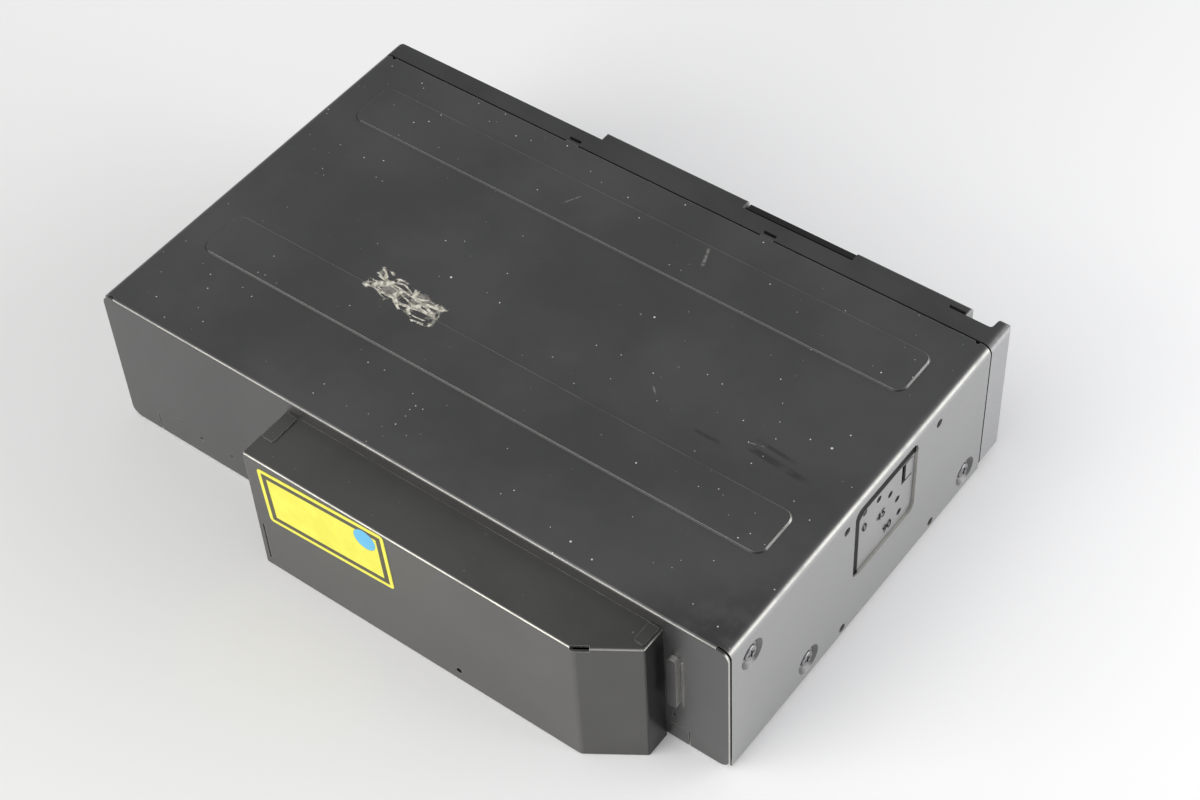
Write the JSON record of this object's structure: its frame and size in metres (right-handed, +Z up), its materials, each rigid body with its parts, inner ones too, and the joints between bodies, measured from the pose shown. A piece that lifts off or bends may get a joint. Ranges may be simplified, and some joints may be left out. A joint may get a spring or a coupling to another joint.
{
  "type": "disc changer",
  "caption": "Flat sheet-metal disc changer with a slide-out magazine, a lifting player, angle selectors and side bracket holes.",
  "frame": {"origin": "centre of the bounding box on its underside, on the plane the base stands on", "axes": "+X along the long side, towards the end of the bezel with the button; -Y out of the magazine slot; +Y out of the rear housing; +Z up"},
  "size_m": [0.255, 0.1814, 0.0625],
  "materials": {
    "case_paint": "charcoal coated sheet steel, satin",
    "housing_paint": "grey coated sheet steel, satin",
    "zinc_sheet": "zinc plated sheet",
    "frame_sheet": "zinc plated sheet",
    "bezel_plastic": "fine-grained black plastic",
    "surround_plastic": "fine-grained black plastic",
    "button_plastic": "black plastic",
    "label_film": "printed film",
    "screw_steel": "zinc plated",
    "selector_sheet": "zinc plated sheet",
    "white_plastic": "moulded",
    "black_plastic": "moulded",
    "tray_plastic": "moulded",
    "disc_plastic": "polycarbonate with a mirror layer",
    "board_green": "printed circuit board",
    "grommet_rubber": "soft",
    "belt_rubber": "soft",
    "motor_steel": "drawn can",
    "gear_plastic": "acetal",
    "bright_steel": "ground",
    "deck_sheet": "zinc plated sheet",
    "pickup_body": "moulded"
  },
  "bodies": {
    "casing": {"top_cover": "case_paint", "base_chassis": "zinc_sheet", "front_bezel": "bezel_plastic", "slot_surround": "surround_plastic", "rear_housing": "housing_paint", "rating_label": "label_film", "cover_screws": "screw_steel", "selector_plate_left": "selector_sheet", "selector_plate_right": "selector_sheet", "connector_socket": "black_plastic", "rear_board": "board_green", "front_board": "board_green", "mechanism_frame": "frame_sheet", "frame_dampers": "grommet_rubber", "magazine_cradle": "black_plastic", "main_board": "board_green", "lift_belt": "belt_rubber", "lift_motor": "motor_steel"},
    "magazine": {"magazine_case": "black_plastic", "disc_tray_1": "tray_plastic", "disc_tray_2": "tray_plastic", "disc_tray_3": "tray_plastic", "disc_tray_4": "tray_plastic", "disc_tray_5": "tray_plastic", "disc_1": "disc_plastic", "disc_2": "disc_plastic", "disc_3": "disc_plastic", "disc_4": "disc_plastic", "disc_5": "disc_plastic"},
    "top_tray": {"disc_tray_6": "tray_plastic"},
    "top_disc": {"disc_6": "disc_plastic"},
    "lift": {"lift_deck": "deck_sheet", "loading_motor": "motor_steel"},
    "left_screw": {"lift_screw_left": "bright_steel"},
    "right_screw": {"lift_screw_right": "bright_steel"},
    "lift_motor_pinion": {"lift_pinion": "gear_plastic"},
    "clamp": {"clamp_puck": "white_plastic"},
    "puller": {"tray_puller": "gear_plastic"},
    "loading_wheel": {"loading_gear": "gear_plastic"},
    "loading_motor_pinion": {"loading_pinion": "gear_plastic"},
    "player": {"traverse": "deck_sheet", "traverse_grommets": "grommet_rubber", "guide_shafts": "bright_steel", "spindle_motor": "motor_steel"},
    "platter": {"turntable": "black_plastic"},
    "sled": {"pickup_sled": "pickup_body"},
    "button": {"eject_button": "button_plastic"},
    "slider": {"eject_slider": "white_plastic"},
    "lever_left": {"selector_lever_left": "white_plastic"},
    "lever_right": {"selector_lever_right": "white_plastic"}
  },
  "joints": [
    {"name": "magazine_slide", "type": "slide", "parent": "casing", "child": "magazine", "axis": [0, -1, 0], "range_m": [0, 0.145]},
    {"name": "tray_slide", "type": "slide", "parent": "magazine", "child": "top_tray", "axis": [1, 0, 0], "range_m": [0, 0.1]},
    {"name": "disc_lift", "type": "slide", "parent": "top_tray", "child": "top_disc", "axis": [0, 0, 1], "range_m": [0, 0.0009]},
    {"name": "lift_slide", "type": "slide", "parent": "casing", "child": "lift", "axis": [0, 0, 1], "range_m": [-0.033, 0]},
    {"name": "left_screw_spin", "type": "hinge", "parent": "casing", "child": "left_screw", "pos_m": [-0.008, 0.06103, 0.02], "axis": [0, 0, 1], "range_deg": [-2980, 0]},
    {"name": "right_screw_spin", "type": "hinge", "parent": "casing", "child": "right_screw", "pos_m": [0.109, 0.06103, 0.02], "axis": [0, 0, 1], "range_deg": [-2980, 0]},
    {"name": "lift_pinion_spin", "type": "hinge", "parent": "casing", "child": "lift_motor_pinion", "pos_m": [-0.02179, 0.0726, 0.005], "axis": [0, 0, 1], "range_deg": [0, 11920]},
    {"name": "clamp_spin", "type": "hinge", "parent": "lift", "child": "clamp", "pos_m": [0.06065, -0.01578, 0.056], "axis": [0, 0, 1], "continuous": true},
    {"name": "puller_slide", "type": "slide", "parent": "lift", "child": "puller", "axis": [1, 0, 0], "range_m": [0, 0.1]},
    {"name": "loading_gear_spin", "type": "hinge", "parent": "lift", "child": "loading_wheel", "pos_m": [0.008, 0.05872, 0.052], "axis": [0, 0, 1], "range_deg": [0, 800]},
    {"name": "loading_pinion_spin", "type": "hinge", "parent": "lift", "child": "loading_motor_pinion", "pos_m": [0.0188, 0.05872, 0.052], "axis": [0, 0, 1], "range_deg": [-1600, 0]},
    {"name": "traverse_rise", "type": "slide", "parent": "lift", "child": "player", "axis": [0, 0, 1], "range_m": [0, 0.005]},
    {"name": "turntable_spin", "type": "hinge", "parent": "player", "child": "platter", "pos_m": [0.06065, -0.01578, 0.047], "axis": [0, 0, 1], "continuous": true},
    {"name": "sled_slide", "type": "slide", "parent": "player", "child": "sled", "axis": [0, 1, 0], "range_m": [0, 0.034]},
    {"name": "eject_button_press", "type": "slide", "parent": "casing", "child": "button", "axis": [0, 1, 0], "range_m": [0, 0.0012], "stiffness_N_per_m": 900, "springref_m": -0.0008},
    {"name": "eject_slider_push", "type": "slide", "parent": "casing", "child": "slider", "axis": [0, -1, 0], "range_m": [0, 0.0201]},
    {"name": "selector_left_turn", "type": "hinge", "parent": "casing", "child": "lever_left", "pos_m": [-0.1242, -0.00517, 0.03], "axis": [1, 0, 0], "range_deg": [0, 90]},
    {"name": "selector_right_turn", "type": "hinge", "parent": "casing", "child": "lever_right", "pos_m": [0.1242, -0.00517, 0.03], "axis": [1, 0, 0], "range_deg": [0, 90]}
  ],
  "couplings": [
    {"joint": "left_screw_spin", "follows": "lift_slide", "rad_per_m": 1570.8},
    {"joint": "right_screw_spin", "follows": "lift_slide", "rad_per_m": 1570.8},
    {"joint": "lift_pinion_spin", "follows": "lift_slide", "rad_per_m": -6283.2},
    {"joint": "puller_slide", "follows": "tray_slide", "ratio": 1},
    {"joint": "loading_gear_spin", "follows": "tray_slide", "rad_per_m": 138.89},
    {"joint": "loading_pinion_spin", "follows": "tray_slide", "rad_per_m": -277.78},
    {"joint": "eject_slider_push", "follows": "magazine_slide", "ratio": 0.13793}
  ]
}
